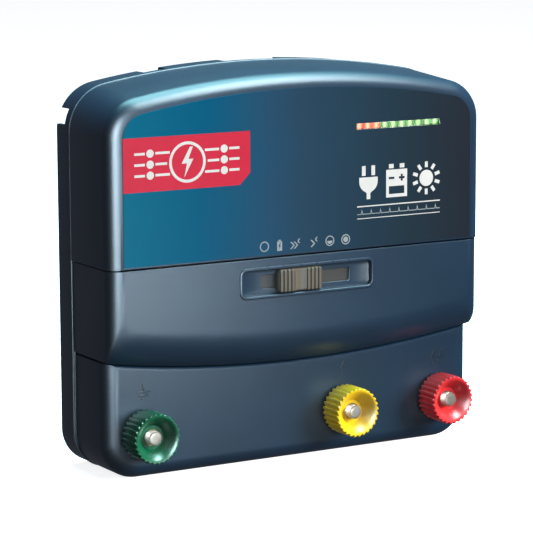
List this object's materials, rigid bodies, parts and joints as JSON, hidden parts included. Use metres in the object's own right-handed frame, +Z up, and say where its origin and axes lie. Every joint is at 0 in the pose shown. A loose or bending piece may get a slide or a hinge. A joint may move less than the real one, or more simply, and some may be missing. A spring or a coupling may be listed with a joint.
{
  "type": "fence energizer",
  "caption": "Wall-hung electric fence energizer: rounded box with a sliding mode switch, lamp bar and ribbed screw terminals on metal studs.",
  "frame": {"origin": "centre of the overall box in X and Y, on the base plane at Z = 0", "axes": "+Z up, -Y towards the user (front with the label and knobs), +X to the user's right, back face towards the wall at +Y"},
  "size_m": [0.2284, 0.0684, 0.2115],
  "materials": {
    "case_plastic": "fine moulded texture",
    "seal_rubber": "matt",
    "label_film": "satin printed film",
    "clear_window": "clear",
    "red_lamp": "diffused",
    "green_lamp": "diffused",
    "circuit_board": "solder resist",
    "slider_plastic": "satin",
    "switch_plastic": "moulded",
    "spring_steel": "bright",
    "core_steel": "varnished laminations",
    "copper_winding": "enamelled wire",
    "capacitor_case": "moulded",
    "capacitor_sleeve": "shrunk sleeve",
    "winding_tape": "polyester tape",
    "chip_black": "moulded",
    "heat_sink_metal": "extruded",
    "plated_steel": "zinc plated",
    "cable_grey": "flat cable",
    "lead_red": "silicone insulation",
    "stud_steel": "turned",
    "knob_green": "moulded",
    "knob_yellow": "moulded",
    "knob_red": "moulded",
    "insert_brass": "turned"
  },
  "bodies": {
    "case": {"rear_case": "case_plastic", "upper_cover": "case_plastic", "control_band": "case_plastic", "terminal_housing": "case_plastic", "case_seal": "seal_rubber", "label_overlay": "label_film", "led_lens": "clear_window", "led_red_lamps": "red_lamp", "led_green_lamps": "green_lamp", "led_board": "circuit_board", "switch_body": "switch_plastic", "switch_board": "circuit_board", "main_board": "circuit_board", "transformer_core": "core_steel", "transformer_winding": "copper_winding", "storage_capacitors": "capacitor_case", "smoothing_capacitor": "capacitor_sleeve", "inverter_transformer": "winding_tape", "thyristor": "chip_black", "heat_sink": "heat_sink_metal", "toroid_choke": "copper_winding", "board_chips": "chip_black", "supply_socket": "switch_plastic", "supply_socket_nut": "plated_steel", "ribbon_cables": "cable_grey", "output_leads": "lead_red", "ring_lugs": "plated_steel", "case_screws": "plated_steel", "board_screws": "plated_steel", "small_screws": "plated_steel", "stud_washers": "plated_steel", "stud_nuts": "plated_steel", "stud_earth": "stud_steel", "stud_reduced": "stud_steel", "stud_full": "stud_steel"},
    "slider": {"slider_knob": "slider_plastic", "slider_strip": "slider_plastic", "switch_wiper": "switch_plastic", "detent_spring": "spring_steel"},
    "earth_clamp": {"clamp_washer_earth": "plated_steel"},
    "earth_knob": {"knob_earth": "knob_green", "insert_earth": "insert_brass"},
    "reduced_clamp": {"clamp_washer_reduced": "plated_steel"},
    "reduced_knob": {"knob_reduced": "knob_yellow", "insert_reduced": "insert_brass"},
    "full_clamp": {"clamp_washer_full": "plated_steel"},
    "full_knob": {"knob_full": "knob_red", "insert_full": "insert_brass"}
  },
  "joints": [
    {"name": "slider_slide", "type": "slide", "parent": "case", "child": "slider", "axis": [1, 0, 0], "range_m": [-0.0201, 0.03015]},
    {"name": "earth_travel", "type": "slide", "parent": "case", "child": "earth_clamp", "axis": [0, -1, 0], "range_m": [0, 0.005]},
    {"name": "earth_turn", "type": "hinge", "parent": "earth_clamp", "child": "earth_knob", "pos_m": [-0.0914, 0, 0.0242], "axis": [0, -1, 0], "range_deg": [0, 1445]},
    {"name": "reduced_travel", "type": "slide", "parent": "case", "child": "reduced_clamp", "axis": [0, -1, 0], "range_m": [0, 0.005]},
    {"name": "reduced_turn", "type": "hinge", "parent": "reduced_clamp", "child": "reduced_knob", "pos_m": [0.0298, 0, 0.0242], "axis": [0, -1, 0], "range_deg": [0, 1445]},
    {"name": "full_travel", "type": "slide", "parent": "case", "child": "full_clamp", "axis": [0, -1, 0], "range_m": [0, 0.005]},
    {"name": "full_turn", "type": "hinge", "parent": "full_clamp", "child": "full_knob", "pos_m": [0.0914, 0, 0.0242], "axis": [0, -1, 0], "range_deg": [0, 1445]}
  ],
  "couplings": [
    {"joint": "earth_turn", "follows": "earth_travel", "rad_per_m": 5026.5},
    {"joint": "reduced_turn", "follows": "reduced_travel", "rad_per_m": 5026.5},
    {"joint": "full_turn", "follows": "full_travel", "rad_per_m": 5026.5}
  ]
}
